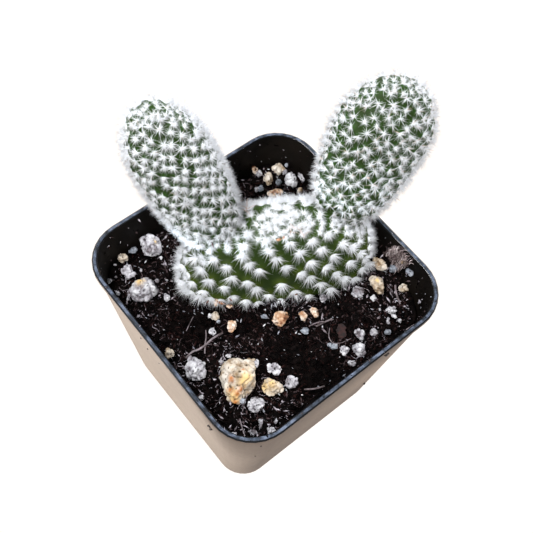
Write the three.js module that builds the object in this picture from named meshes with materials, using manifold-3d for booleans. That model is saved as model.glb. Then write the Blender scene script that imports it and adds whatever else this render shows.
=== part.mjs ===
// Bunny ears cactus in a square nursery pot: a wide base pad with two young ear pads, rooted in peat that is
// dressed with perlite, pumice and a few wood scraps.
// Millimetres, +Z up. The origin is the centre of the pot's underside. The pot stands corner to the front, so
// its four corners lie on the X and Y axes, and -Y faces the viewer.

import * as THREE from 'three';
import { mergeVertices } from 'three/addons/utils/BufferGeometryUtils.js';
import Module from 'manifold-3d';

const wasm = await Module();
wasm.setup();

// Pot: half sizes are across the flats of its square outline
const potHeight = 57.5;
const rimHalf = 32;
const rimCorner = 10.8;
const footHalf = 25;
const footCorner = 7.3;
const footChamfer = 0.8;
const wallThickness = 0.8;
const floorThickness = 1;
const lipOut = 0.4;
const lipDepth = 1.7;
const lipRound = 0.35;
const drainRadius = 2.5;
const drainReach = 22;
const drainSides = 16;
const cornerSteps = 8;
const cutOverrun = 1;

// Soil
const soilLevel = 47.5;
const fitGap = 0.3;
const soilGridStep = 3;
const soilGridWidth = 84;
const soilSwell = { height: 0.45, acrossSpan: 6.5, backSpan: 5.8 };
const soilRipple = { height: 0.25, acrossSpan: 3.1, backSpan: 3.7 };
const soilHeap = { x: 29.5, y: 12.5, height: 4.2, spread: 4.2 };

// Base pad: measured in its own frame, which leans back and turns its left end towards the viewer
const basePad = {
  soilCentre: new THREE.Vector3( 2.5, 7, soilLevel ),
  buried: 16.5,
  width: 47.2,
  thickness: 16,
  length: 36.5,
  neck: 0.6,
  widestAt: 0.5,
  squareness: 2.6,
  section: 2.4,
  yaw: 16.5,
  leanBack: 15,
  leanRight: 0,
};

// Ears: each foot is a place along and up the base pad, measured from where that pad leaves the soil
const leftEar = {
  along: - 14.1,
  up: 15,
  outward: - 1.2,
  width: 17.8,
  thickness: 13.5,
  length: 39.3,
  neck: 0.34,
  widestAt: 0.59,
  squareness: 2.05,
  section: 2.1,
  yaw: 16.5,
  leanBack: 22,
  leanRight: - 21.9,
};
const rightEar = {
  along: 15.2,
  up: 15,
  outward: 0.8,
  width: 23.2,
  thickness: 14,
  length: 37.2,
  neck: 0.34,
  widestAt: 0.64,
  squareness: 1.7,
  section: 2.1,
  yaw: 16.5,
  leanBack: 22,
  leanRight: 21.7,
};
const padSides = 28;
const padArcSteps = 8;

// Stones: place across and towards the back, then width, depth and height, and a turn in degrees. A last
// value widens the stone's far end and narrows its near end by that share.
const stoneSunk = 0.34;
const stoneChips = 9;
const shallowestChip = 0.97;
const finelyFacetedFrom = 5;
const perlite = [
  [ - 29, 8.1, 6.2, 6.6, 6, 20 ],
  [ - 28.7, - 3.7, 8.3, 6.7, 4.8, 15 ],
  [ - 33, 0.4, 4.2, 4.4, 3.1, 0 ],
  [ - 13.4, - 22.2, 5.8, 7.2, 4.4, 30 ],
  [ 1.5, - 29.3, 4.6, 4.4, 3.4, 10 ],
  [ 8.9, - 22.4, 3.6, 3.9, 3, 0 ],
  [ 4.5, - 19.5, 4.5, 3.2, 2.3, 0 ],
  [ 5.6, - 34.4, 2.9, 2.1, 1.7, 20 ],
  [ 1.4, - 35.5, 2.6, 1.8, 1.5, 0 ],
  [ 14.6, 0.3, 2.1, 2.5, 1.9, 0 ],
  [ 23, 3.1, 3.5, 3.4, 2.8, 0 ],
  [ 31.5, - 0.7, 3, 2.5, 2, 0 ],
  [ 24.2, - 8.1, 2.7, 3.6, 2.2, 30 ],
  [ 27.5, - 7.1, 2.4, 2.3, 1.8, 0 ],
  [ 20.7, - 12.8, 2.6, 3.1, 2.1, 0 ],
  [ 24.2, - 12.1, 3.9, 3.7, 2.8, 0 ],
  [ 22.6, - 15.8, 2.5, 1.8, 1.5, 10 ],
  [ 3.6, 32.8, 4.1, 5, 4.4, 0, - 0.4 ],
  [ 6.2, 34.3, 3.7, 1.5, 1.8, - 50 ],
  [ - 4.7, 33.8, 2.1, 2.1, 1.8, 0 ],
];
const pumice = [
  [ - 3.3, - 23.9, 9.2, 13.6, 7.4, - 8, 0.35 ],
  [ 4.5, - 24.3, 6.2, 4.3, 3.3, 5 ],
  [ - 20.1, - 19.3, 3.2, 3.1, 2.6, 0 ],
  [ - 35.1, 4.2, 3.4, 2.7, 2.3, - 10 ],
  [ 27.6, 4.9, 6.6, 4.4, 4.3, - 67 ],
  [ 27.6, 9.8, 5.6, 2.9, 3, - 47 ],
  [ 34.1, 5.3, 2.9, 2.9, 2.4, 0 ],
  [ 0.1, 35.6, 3.7, 4.1, 3.4, 0 ],
  [ - 2.2, 32.3, 3.3, 4.2, 2.9, 0 ],
  [ - 16, 21, 3.6, 3, 2.6, 25 ],
  [ - 10.7, - 7.9, 2.6, 2.5, 2.1, 0 ],
];
const rustyPumice = [
  [ - 6.4, - 10.3, 2.7, 3.5, 2.3, 10 ],
  [ 4.9, - 6.9, 4.6, 4.4, 3.8, 15 ],
  [ 10.1, - 5.2, 2.3, 3.3, 2.2, 10 ],
  [ 12.9, - 3.9, 3.8, 2.1, 2.1, - 53 ],
  [ 0, 28.5, 4.8, 3.4, 3, 5 ],
];
const greyGrit = [
  [ 1, - 6.7, 2.5, 1.7, 1.4, 0 ],
  [ 10.9, - 9, 2.9, 2, 1.7, - 10 ],
  [ 17.9, - 12.2, 3.3, 1.9, 1.6, 0 ],
  [ - 33, 6.7, 3.1, 1.9, 2.1, 50 ],
  [ 30.9, 8.9, 2.5, 2.4, 2.1, 0 ],
  [ - 3.9, 29.4, 2, 2.6, 1.8, 0 ],
  [ 0.6, 31.9, 2.6, 1.7, 1.8, 45 ],
  [ 15, 22.4, 2.6, 2.4, 2, 30 ],
];

// Wood scraps
const barkChip = { x: 19.6, y: - 8, length: 4.4, width: 2.4, thickness: 0.9, turn: 95 };
const barkOutline = [
  [ - 0.5, - 0.3 ],
  [ - 0.1, - 0.5 ],
  [ 0.45, - 0.36 ],
  [ 0.5, 0.12 ],
  [ 0.12, 0.5 ],
  [ - 0.42, 0.38 ],
];
const twigRadius = 0.32;
const twigLift = 0.35;
const twigPaths = [
  [ [ 13.4, - 7.8 ], [ 15, - 6.6 ], [ 17.2, - 5.2 ] ],
  [ [ 11.9, - 23.8 ], [ 14.2, - 23.4 ], [ 16.8, - 22.4 ] ],
];

// Colours as seen in daylight
const colours = {
  pot: 0xc9ad8c,
  soil: 0x241a17,
  pad: 0x5c7f3f,
  perlite: 0xdfe0e2,
  pumice: 0xe4d3b0,
  rustyPumice: 0xc08a55,
  greyGrit: 0x9a9ca6,
  bark: 0x5a2a20,
  twig: 0x8a7560,
};

function material( colour, roughness ) {

  return new THREE.MeshStandardMaterial( { color: colour, roughness, metalness: 0 } );

}

// A small repeatable random source, so that every stone keeps its shape
function randomSource( seed ) {

  let state = seed * 2654435761 % 4294967296;
  return () => {

    state = ( state * 1664525 + 1013904223 ) % 4294967296;
    return state / 4294967296;

  };

}

// Solids: a closed geometry as a manifold, and back
function solid( geometry, matrix = new THREE.Matrix4() ) {

  const bare = geometry.clone().applyMatrix4( matrix );
  bare.deleteAttribute( 'normal' );
  bare.deleteAttribute( 'uv' );
  const merged = mergeVertices( bare, 1e-4 );
  const index = merged.index.array;
  const triVerts = [];
  for ( let i = 0; i < index.length; i += 3 ) {

    const [ a, b, c ] = [ index[ i ], index[ i + 1 ], index[ i + 2 ] ];
    if ( a !== b && b !== c && c !== a ) triVerts.push( a, b, c );

  }
  return new wasm.Manifold( new wasm.Mesh( {
    numProp: 3,
    vertProperties: new Float32Array( merged.attributes.position.array ),
    triVerts: new Uint32Array( triVerts ),
  } ) );

}

function geometryOf( manifold, matrix = new THREE.Matrix4() ) {

  const mesh = manifold.getMesh();
  const geometry = new THREE.BufferGeometry();
  const points = new Float32Array( mesh.vertProperties );
  geometry.setAttribute( 'position', new THREE.BufferAttribute( points, 3 ) );
  geometry.setIndex( new THREE.BufferAttribute( new Uint32Array( mesh.triVerts ), 1 ) );
  geometry.applyMatrix4( matrix );
  geometry.computeVertexNormals();
  return geometry;

}

function addMesh( parent, name, geometry, finish ) {

  const mesh = new THREE.Mesh( geometry, finish );
  mesh.name = name;
  parent.add( mesh );
  return mesh;

}

// Pot outline: a square with round corners, turned so that its corners point along X and Y
function squareRing( half, corner, z ) {

  const ring = [];
  for ( let k = 0; k < 4; k ++ ) {

    const centre = new THREE.Vector2( half - corner, half - corner );
    centre.rotateAround( new THREE.Vector2(), k * Math.PI / 2 );
    for ( let i = 0; i <= cornerSteps; i ++ ) {

      const angle = ( k + i / cornerSteps ) * Math.PI / 2;
      const point = new THREE.Vector2( Math.cos( angle ), Math.sin( angle ) );
      point.multiplyScalar( corner ).add( centre );
      point.rotateAround( new THREE.Vector2(), Math.PI / 4 );
      ring.push( new THREE.Vector3( point.x, point.y, z ) );

    }

  }
  return ring;

}

// A solid through a stack of rings of equal point count, closed flat at both ends
function loft( rings ) {

  const count = rings[ 0 ].length;
  const first = new THREE.Vector3( 0, 0, rings[ 0 ][ 0 ].z );
  const last = new THREE.Vector3( 0, 0, rings[ rings.length - 1 ][ 0 ].z );
  const points = [ ...rings.flat(), first, last ];
  const [ firstIndex, lastIndex ] = [ points.length - 2, points.length - 1 ];
  const top = ( rings.length - 1 ) * count;
  const index = [];
  for ( let i = 0; i < count; i ++ ) {

    const next = ( i + 1 ) % count;
    index.push( firstIndex, next, i, lastIndex, top + i, top + next );
    for ( let r = 0; r < top; r += count ) {

      index.push( r + i, r + next, r + count + next, r + i, r + count + next, r + count + i );

    }

  }
  const geometry = new THREE.BufferGeometry().setFromPoints( points );
  geometry.setIndex( index );
  return geometry;

}

// The wall's outer face at a height, between the foot and the rim
const wallTopHalf = rimHalf - lipOut;
const wallHalfAt = ( z ) => THREE.MathUtils.lerp( footHalf, wallTopHalf, z / potHeight );
const wallCornerAt = ( z ) => THREE.MathUtils.lerp( footCorner, rimCorner - lipOut, z / potHeight );
const wallRing = ( z, inset ) => squareRing( wallHalfAt( z ) - inset, wallCornerAt( z ) - inset, z );

function potGeometry() {

  const lipStart = potHeight - lipDepth;
  const outside = solid( loft( [
    squareRing( wallHalfAt( 0 ) - footChamfer, footCorner - footChamfer, 0 ),
    wallRing( footChamfer, 0 ),
    wallRing( lipStart, 0 ),
    squareRing( rimHalf, rimCorner, lipStart + lipRound ),
    squareRing( rimHalf, rimCorner, potHeight - lipRound ),
    squareRing( rimHalf - lipRound, rimCorner - lipRound, potHeight ),
  ] ) );
  const inside = solid( loft( [
    wallRing( floorThickness, wallThickness ),
    wallRing( potHeight + cutOverrun, wallThickness ),
  ] ) );
  let pot = outside.subtract( inside );
  const drainDepth = 2 * ( floorThickness + cutOverrun );
  const drain = new THREE.CylinderGeometry( drainRadius, drainRadius, drainDepth, drainSides );
  drain.rotateX( Math.PI / 2 );
  for ( let k = 0; k < 4; k ++ ) {

    const angle = k * Math.PI / 2;
    const [ x, y ] = [ drainReach * Math.cos( angle ), drainReach * Math.sin( angle ) ];
    pot = pot.subtract( solid( drain, new THREE.Matrix4().makeTranslation( x, y, 0 ) ) );

  }
  return geometryOf( pot );

}

// Soil surface: gently uneven, and heaped against the wall on the right
function soilHeight( x, y ) {

  const acrossSwell = Math.sin( x / soilSwell.acrossSpan + 1 );
  const swell = soilSwell.height * acrossSwell * Math.cos( y / soilSwell.backSpan );
  const ripple = soilRipple.height * Math.sin( x / soilRipple.acrossSpan - y / soilRipple.backSpan );
  const away = Math.hypot( x - soilHeap.x, y - soilHeap.y ) / soilHeap.spread;
  return soilLevel + swell + ripple + soilHeap.height * Math.exp( - away * away / 2 );

}

function soilBlock() {

  const steps = Math.round( soilGridWidth / soilGridStep );
  const block = new THREE.BoxGeometry( soilGridWidth, soilGridWidth, potHeight, steps, steps, 1 );
  const position = block.attributes.position;
  for ( let i = 0; i < position.count; i ++ ) {

    if ( position.getZ( i ) > 0 ) position.setZ( i, soilHeight( position.getX( i ), position.getY( i ) ) );

  }
  return solid( block ).intersect( solid( loft( [
    wallRing( floorThickness + fitGap, wallThickness + fitGap ),
    wallRing( potHeight, wallThickness + fitGap ),
  ] ) ) );

}

// Pads: a turned outline pressed flat, with its foot at the origin and its tip along +Z. A section above 2
// makes the pad's cross-section fuller than an ellipse.
function padGeometry( pad, grow = 0 ) {

  const { width, thickness, length, neck, widestAt, squareness, section } = pad;
  const outline = [ new THREE.Vector2( 0, - grow ) ];
  const power = 2 / squareness;
  for ( let i = 0; i <= padArcSteps; i ++ ) {

    const angle = i / padArcSteps * Math.PI / 2;
    const share = widestAt * ( 1 - Math.cos( angle ) ** power );
    const reach = neck + ( 1 - neck ) * Math.sin( angle );
    outline.push( new THREE.Vector2( reach, share * length - grow * Math.cos( angle ) ) );

  }
  for ( let i = 1; i <= padArcSteps; i ++ ) {

    const angle = i / padArcSteps * Math.PI / 2;
    const share = widestAt + ( 1 - widestAt ) * Math.sin( angle ) ** power;
    const reach = i === padArcSteps ? 0 : Math.cos( angle );
    outline.push( new THREE.Vector2( reach, share * length + grow * Math.sin( angle ) ) );

  }
  const turned = new THREE.LatheGeometry( outline, padSides ).rotateX( Math.PI / 2 );
  const position = turned.attributes.position;
  for ( let i = 0; i < position.count; i ++ ) {

    const [ x, y ] = [ position.getX( i ), position.getY( i ) ];
    const reach = ( Math.abs( x ) ** section + Math.abs( y ) ** section ) ** ( 1 / section );
    const bulge = reach > 0 ? Math.hypot( x, y ) / reach : 1;
    position.setXY( i, x * bulge, y * bulge );

  }
  return turned.scale( width / 2 + grow, thickness / 2 + grow, 1 );

}

function setPadTilt( object, pad ) {

  const { degToRad } = THREE.MathUtils;
  object.rotation.set( degToRad( - pad.leanBack ), degToRad( pad.leanRight ), degToRad( pad.yaw ), 'ZXY' );

}

// Stones: a ball cut by a few flat chips, then stretched to its size and tapered
function stoneGeometry( size, taper, seed, roundness ) {

  const random = randomSource( seed );
  const chips = [];
  for ( let i = 0; i < stoneChips; i ++ ) {

    const normal = new THREE.Vector3( random() - 0.5, random() - 0.5, random() - 0.5 ).normalize();
    chips.push( { normal, depth: THREE.MathUtils.lerp( roundness, shallowestChip, random() ) } );

  }
  const ball = new THREE.IcosahedronGeometry( 1, size.x > finelyFacetedFrom ? 2 : 1 );
  const position = ball.attributes.position;
  const point = new THREE.Vector3();
  for ( let i = 0; i < position.count; i ++ ) {

    point.fromBufferAttribute( position, i );
    const facing = chips.filter( ( { normal } ) => point.dot( normal ) > 0 );
    const reach = facing.map( ( { normal, depth } ) => depth / point.dot( normal ) );
    point.multiplyScalar( Math.min( 1, ...reach ) );
    position.setXYZ( i, point.x * ( 1 + taper * point.y ), point.y, point.z );

  }
  return ball.scale( size.x / 2, size.y / 2, size.z / 2 );

}

function growthAround( size ) {

  const grown = ( across ) => 1 + 2 * fitGap / across;
  return new THREE.Matrix4().makeScale( grown( size.x ), grown( size.y ), grown( size.z ) );

}

// Bark: a flat chip with a broken outline
function barkGeometry( length, width, thickness ) {

  const corners = barkOutline.map( ( [ x, y ] ) => new THREE.Vector2( x * length, y * width ) );
  const outline = new THREE.Shape( corners );
  const chip = new THREE.ExtrudeGeometry( outline, { depth: thickness, bevelEnabled: false } );
  return chip.translate( 0, 0, - thickness / 2 );

}

// Twigs: a thin round stick that follows the soil
function twigGeometry( path ) {

  const lift = twigRadius + twigLift;
  const points = path.map( ( [ x, y ] ) => new THREE.Vector3( x, y, soilHeight( x, y ) + lift ) );
  const curve = new THREE.CatmullRomCurve3( points );
  const section = new THREE.Shape().absarc( 0, 0, twigRadius, 0, 2 * Math.PI );
  return new THREE.ExtrudeGeometry( section, { extrudePath: curve, steps: 6, curveSegments: 6 } );

}

const cactusPot = new THREE.Group();
cactusPot.name = 'bunny_ears_cactus';
addMesh( cactusPot, 'pot', potGeometry(), material( colours.pot, 0.6 ) );

// The plant: a group that stands where the base pad leaves the soil
const plant = new THREE.Group();
plant.position.copy( basePad.soilCentre );
setPadTilt( plant, basePad );
cactusPot.add( plant );
const padSkin = material( colours.pad, 0.7 );
const basePadMesh = addMesh( plant, 'base_pad', padGeometry( basePad ), padSkin );
basePadMesh.position.z = - basePad.buried;
cactusPot.updateMatrixWorld( true );
const grownBasePad = solid( padGeometry( basePad, fitGap ), basePadMesh.matrixWorld );

for ( const [ name, ear ] of [ [ 'left_ear_pad', leftEar ], [ 'right_ear_pad', rightEar ] ] ) {

  const holder = new THREE.Group();
  holder.position.set( ear.along, ear.outward, ear.up ).applyMatrix4( plant.matrixWorld );
  setPadTilt( holder, ear );
  cactusPot.add( holder );
  holder.updateMatrixWorld( true );
  const whole = solid( padGeometry( ear ), holder.matrixWorld );
  const cut = whole.subtract( grownBasePad );
  addMesh( holder, name, geometryOf( cut, holder.matrixWorld.clone().invert() ), padSkin );

}

// The top dressing: each stone sits in a hollow of its own in the soil
let soil = soilBlock().subtract( grownBasePad );
const dressing = new THREE.Group();
cactusPot.add( dressing );

function seatPiece( name, geometry, x, y, size, turn, finish ) {

  const mesh = addMesh( dressing, name, geometry, finish );
  mesh.position.set( x, y, soilHeight( x, y ) + size.z * ( 0.5 - stoneSunk ) );
  mesh.rotation.z = THREE.MathUtils.degToRad( turn );
  mesh.updateMatrixWorld( true );
  soil = soil.subtract( solid( geometry, mesh.matrixWorld.clone().multiply( growthAround( size ) ) ) );

}

const stoneKinds = [
  { name: 'perlite', stones: perlite, colour: colours.perlite, roundness: 0.84, seed: 10 },
  { name: 'pumice', stones: pumice, colour: colours.pumice, roundness: 0.72, seed: 200 },
  { name: 'rusty_pumice', stones: rustyPumice, colour: colours.rustyPumice, roundness: 0.7, seed: 300 },
  { name: 'grey_grit', stones: greyGrit, colour: colours.greyGrit, roundness: 0.68, seed: 400 },
];
for ( const kind of stoneKinds ) {

  const finish = material( kind.colour, 0.9 );
  kind.stones.forEach( ( [ x, y, width, depth, height, turn, taper = 0 ], i ) => {

    const size = new THREE.Vector3( width, depth, height );
    const geometry = stoneGeometry( size, taper, kind.seed + i, kind.roundness );
    seatPiece( `${ kind.name }_${ i + 1 }`, geometry, x, y, size, turn, finish );

  } );

}

const barkSize = new THREE.Vector3( barkChip.length, barkChip.width, barkChip.thickness );
const bark = barkGeometry( barkChip.length, barkChip.width, barkChip.thickness );
const barkFinish = material( colours.bark, 0.9 );
seatPiece( 'bark_chip', bark, barkChip.x, barkChip.y, barkSize, barkChip.turn, barkFinish );

const twigFinish = material( colours.twig, 0.9 );
twigPaths.forEach( ( path, i ) => addMesh( dressing, `twig_${ i + 1 }`, twigGeometry( path ), twigFinish ) );

addMesh( cactusPot, 'soil', geometryOf( soil ), material( colours.soil, 1 ) );

export default cactusPot;
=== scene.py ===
import math

import bpy
import numpy as np
from mathutils import Euler, Matrix, Vector, noise
from mathutils.bvhtree import BVHTree


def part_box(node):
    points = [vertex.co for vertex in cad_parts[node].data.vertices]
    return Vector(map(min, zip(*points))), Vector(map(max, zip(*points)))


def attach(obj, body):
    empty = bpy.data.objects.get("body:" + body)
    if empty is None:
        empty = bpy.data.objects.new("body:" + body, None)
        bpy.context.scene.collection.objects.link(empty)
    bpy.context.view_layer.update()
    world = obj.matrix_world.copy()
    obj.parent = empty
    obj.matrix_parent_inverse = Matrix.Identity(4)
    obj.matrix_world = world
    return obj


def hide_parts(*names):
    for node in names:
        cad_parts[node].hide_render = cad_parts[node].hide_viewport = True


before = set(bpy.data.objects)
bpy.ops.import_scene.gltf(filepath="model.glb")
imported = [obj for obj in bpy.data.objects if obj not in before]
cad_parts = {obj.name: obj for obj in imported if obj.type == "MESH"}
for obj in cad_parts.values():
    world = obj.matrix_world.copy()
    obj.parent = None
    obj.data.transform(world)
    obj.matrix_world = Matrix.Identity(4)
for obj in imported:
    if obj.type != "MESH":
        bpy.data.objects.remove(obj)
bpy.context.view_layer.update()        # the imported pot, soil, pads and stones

mm = 0.001
noise.seed_set(1)        # noise_vector would take its seed from the clock


# Small helpers for picking, editing and finishing a piece

def pick(piece):
    bpy.ops.object.select_all(action="DESELECT")
    piece.select_set(True)
    bpy.context.view_layer.objects.active = piece


def addObject(name, data):
    piece = bpy.data.objects.new(name, data)
    bpy.context.scene.collection.objects.link(piece)
    return piece


def addShape(operator, **settings):
    bpy.ops.object.select_all(action="DESELECT")
    operator(**settings)
    return bpy.context.object


def modify(piece, kind, **settings):
    pick(piece)
    modifier = piece.modifiers.new(kind.lower(), kind)
    for key, value in settings.items():
        setattr(modifier, key, value)
    bpy.ops.object.modifier_apply(modifier=modifier.name)


def editAll(piece, *steps):
    # runs each edit operator with everything selected
    pick(piece)
    bpy.ops.object.mode_set(mode="EDIT")
    for step in steps:
        bpy.ops.mesh.select_all(action="SELECT")
        step()
    bpy.ops.object.mode_set(mode="OBJECT")


def nodeCopy(node, name):
    # a merged copy of a CAD node, to be worked up in its place
    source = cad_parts[node]
    mesh = source.data.copy()
    mesh.transform(source.matrix_world)
    mesh.materials.clear()
    piece = addObject(name, mesh)
    editAll(piece, lambda: bpy.ops.mesh.remove_doubles(threshold=0.01 * mm))
    return piece


def finishPiece(piece, material, node=None):
    piece.data.materials.clear()
    piece.data.materials.append(material)
    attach(piece, "root")
    if node:
        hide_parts(node)
    print(piece.name, len(piece.data.polygons), "faces")


def vertexRows(piece, key):
    rows = np.empty(len(piece.data.vertices) * 3)
    piece.data.vertices.foreach_get(key, rows)
    return rows.reshape(-1, 3)


def vertexPlaces(piece):
    return vertexRows(piece, "co")


def vertexNormals(piece):
    return vertexRows(piece, "normal")


def unit(rows):
    return rows / np.linalg.norm(rows, axis=-1, keepdims=True)


def moveVertices(piece, places):
    piece.data.vertices.foreach_set("co", places.ravel())
    piece.data.update()


def vertexValues(piece, name, values):
    layer = piece.data.attributes.new(name, "FLOAT", "POINT")
    layer.data.foreach_set("value", np.asarray(values, float).ravel())


def smoothShade(piece, angle=None):
    pick(piece)
    if angle is None:
        bpy.ops.object.shade_smooth()
    else:
        bpy.ops.object.shade_smooth_by_angle(angle=math.radians(angle))


def surfaceOf(*pieces):
    # one search tree over several meshes
    points, faces = [], []
    for piece in pieces:
        start = len(points)
        points += [v.co.copy() for v in piece.data.vertices]
        faces += [[start + i for i in p.vertices] for p in piece.data.polygons]
    return BVHTree.FromPolygons(points, faces)


def copiesOf(name, shape, places, axes, values):
    # every copy of one modelled shape, joined in one mesh: axes holds the three scaled axes of each copy
    points = vertexPlaces(shape)
    faces = [tuple(p.vertices) for p in shape.data.polygons]
    count, each = len(places), len(points)
    spread = np.einsum("vj,njk->nvk", points, axes) + places[:, None, :]
    sizes = np.array([len(f) for f in faces])
    corners = np.concatenate([np.array(f) for f in faces])
    mesh = bpy.data.meshes.new(name)
    mesh.vertices.add(count * each)
    mesh.vertices.foreach_set("co", spread.ravel())
    mesh.loops.add(count * len(corners))
    mesh.loops.foreach_set("vertex_index", (corners[None, :] + each * np.arange(count)[:, None]).ravel())
    mesh.polygons.add(count * len(faces))
    starts = np.concatenate([[0], np.cumsum(np.tile(sizes, count))[:-1]])
    mesh.polygons.foreach_set("loop_start", starts)
    mesh.update(calc_edges=True)
    mesh.validate()
    piece = addObject(name, mesh)
    for key, value in values.items():
        vertexValues(piece, key, np.repeat(value, each))
    return piece


def joinPieces(pieces, name):
    pick(pieces[0])
    for piece in pieces[1:]:
        piece.select_set(True)
    bpy.ops.object.join()
    pieces[0].name = name
    return pieces[0]


def removePiece(piece):
    bpy.data.objects.remove(piece)


# Materials: small node helpers

def newMaterial(name, roughness, specular=0.5):
    material = bpy.data.materials.new(name)
    material.use_nodes = True
    tree = material.node_tree
    shader = tree.nodes["Principled BSDF"]
    shader.inputs["Roughness"].default_value = roughness
    shader.inputs["Specular IOR Level"].default_value = specular
    return material, tree, shader


def paint(tree, shader, colour):
    tree.links.new(colour, shader.inputs["Base Color"])


def addNode(tree, kind, inputs=None, **settings):
    node = tree.nodes.new(kind)
    for key, value in settings.items():
        setattr(node, key, value)
    for key, value in (inputs or {}).items():
        if isinstance(value, bpy.types.NodeSocket):
            tree.links.new(value, node.inputs[key])
        else:
            node.inputs[key].default_value = value
    return node


def colourRamp(tree, factor, stops):
    node = addNode(tree, "ShaderNodeValToRGB", {"Fac": factor})
    ramp = node.color_ramp
    while len(ramp.elements) < len(stops):
        ramp.elements.new(0.5)
    for element, (place, colour) in zip(ramp.elements, stops):
        element.position = place
        element.color = (*colour, 1)
    return node.outputs["Color"]


def noiseOn(tree, perMetre, detail=4.0, roughness=0.55):
    where = addNode(tree, "ShaderNodeTexCoord").outputs["Object"]
    inputs = {"Vector": where, "Scale": perMetre, "Detail": detail, "Roughness": roughness}
    return addNode(tree, "ShaderNodeTexNoise", inputs).outputs["Fac"]


def attributeOn(tree, name):
    return addNode(tree, "ShaderNodeAttribute", attribute_name=name).outputs["Fac"]


def mixColours(tree, factor, first, second, blend="MIX"):
    node = addNode(tree, "ShaderNodeMix", data_type="RGBA", blend_type=blend)
    for socket, value in ((node.inputs[0], factor), (node.inputs[6], first), (node.inputs[7], second)):
        if isinstance(value, bpy.types.NodeSocket):
            tree.links.new(value, socket)
        else:
            socket.default_value = value if isinstance(value, float) else (*value, 1)
    return node.outputs[2]


def addBump(tree, shader, height, strength, distance):
    bump = addNode(tree, "ShaderNodeBump", {"Height": height, "Strength": strength, "Distance": distance})
    tree.links.new(bump.outputs["Normal"], shader.inputs["Normal"])


def toneMaterial(name, roughness, stops, specular=0.5):
    # the colour follows the tone that each copy carries
    material, tree, shader = newMaterial(name, roughness, specular)
    paint(tree, shader, colourRamp(tree, attributeOn(tree, "tone"), stops))
    return material


# Camera: where the photograph was taken from

cameraView = {
    "aim": (-0.06, 1.77, 57.5),
    "distance": 211,
    "azimuth": -1.07,
    "elevation": 62.0,
    "roll": 7.97,
    "focalPixels": 900,
    "framePixels": 533,
}


def placeCamera():
    azimuth, elevation, roll = (math.radians(cameraView[key]) for key in ("azimuth", "elevation", "roll"))
    back = Vector((
        math.sin(azimuth) * math.cos(elevation),
        -math.cos(azimuth) * math.cos(elevation),
        math.sin(elevation),
    ))
    level = Vector((math.cos(azimuth), math.sin(azimuth), 0))
    upright = back.cross(level)
    right = level * math.cos(roll) + upright * math.sin(roll)
    up = upright * math.cos(roll) - level * math.sin(roll)
    data = bpy.data.cameras.new("camera")
    data.sensor_width = 36
    data.lens = data.sensor_width * cameraView["focalPixels"] / cameraView["framePixels"]
    data.clip_start = 0.005
    camera = addObject("camera", data)
    place = Vector(cameraView["aim"]) * mm + back * cameraView["distance"] * mm
    camera.matrix_world = Matrix.Translation(place) @ Matrix((right, up, back)).transposed().to_4x4()
    bpy.context.scene.camera = camera


placeCamera()
print("camera placed")


# Pot: tan outside, black inside, with a thin lip whose top is painted slate: a painted sky reflection with
# painted highlights

potLook = {
    # heights in mm, and the rounding of the edges
    "lipFrom": 56.99,
    "innerWallFrom": 1.2,
    "innerFloor": (0.5, 2.0),
    "edgeBevel": 0.22,
    "tan": (0.142, 0.101, 0.073),
    "tanPale": (0.172, 0.126, 0.094),
    "black": (0.0018, 0.0012, 0.0008),
    "blackDusty": (0.007, 0.005, 0.0035),
    "edge": (0.004, 0.005, 0.007),
    # the slate colours are painted reflection and painted highlight on the top of the black plastic lip
    "slateDim": (0.010, 0.012, 0.016),
    "slate": (0.040, 0.052, 0.076),
    "slateHighlight": (0.15, 0.18, 0.25),
}


def heightOn(tree, low, high):
    # 0 to 1 between two heights in mm
    where = addNode(tree, "ShaderNodeTexCoord").outputs["Object"]
    parts = addNode(tree, "ShaderNodeSeparateXYZ", {"Vector": where})
    inputs = {"Value": parts.outputs["Z"], "From Min": low * mm, "From Max": high * mm}
    return addNode(tree, "ShaderNodeMapRange", inputs).outputs["Result"]


def potOutsideMaterial():
    material, tree, shader = newMaterial("pot tan outside", 0.6, 0.15)
    base = colourRamp(tree, noiseOn(tree, 60, 3), ((0.3, potLook["tan"]), (0.75, potLook["tanPale"])))
    mottle = noiseOn(tree, 900, 5, 0.7)
    speck = colourRamp(tree, mottle, ((0.36, (0.78, 0.75, 0.72)), (0.5, (1, 1, 1))))
    paint(tree, shader, mixColours(tree, 0.6, base, speck, "MULTIPLY"))
    addBump(tree, shader, mottle, 0.1, 0.0002)
    return material


def potInsideMaterial():
    material, tree, shader = newMaterial("pot black inside", 0.5, 0.15)
    stops = ((0.45, potLook["black"]), (0.8, potLook["blackDusty"]))
    paint(tree, shader, colourRamp(tree, noiseOn(tree, 120, 4), stops))
    addBump(tree, shader, noiseOn(tree, 1500, 3), 0.1, 0.0001)
    return material


def potLipReflectionMaterial():
    # painted reflection: the lip's top is slate, dim in patches and with streaks of painted highlight
    material, tree, shader = newMaterial("pot lip", 0.3)
    stops = ((0.40, potLook["slateDim"]), (0.50, potLook["slate"]), (0.68, potLook["slateHighlight"]))
    paint(tree, shader, colourRamp(tree, noiseOn(tree, 500, 5, 0.7), stops))
    addBump(tree, shader, noiseOn(tree, 900, 3), 0.3, 0.0001)
    return material


def potEdgeMaterial():
    material, tree, shader = newMaterial("pot lip edges", 0.25)
    shader.inputs["Base Color"].default_value = (*potLook["edge"], 1)
    addBump(tree, shader, noiseOn(tree, 700, 3), 0.4, 0.0001)
    return material


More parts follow.
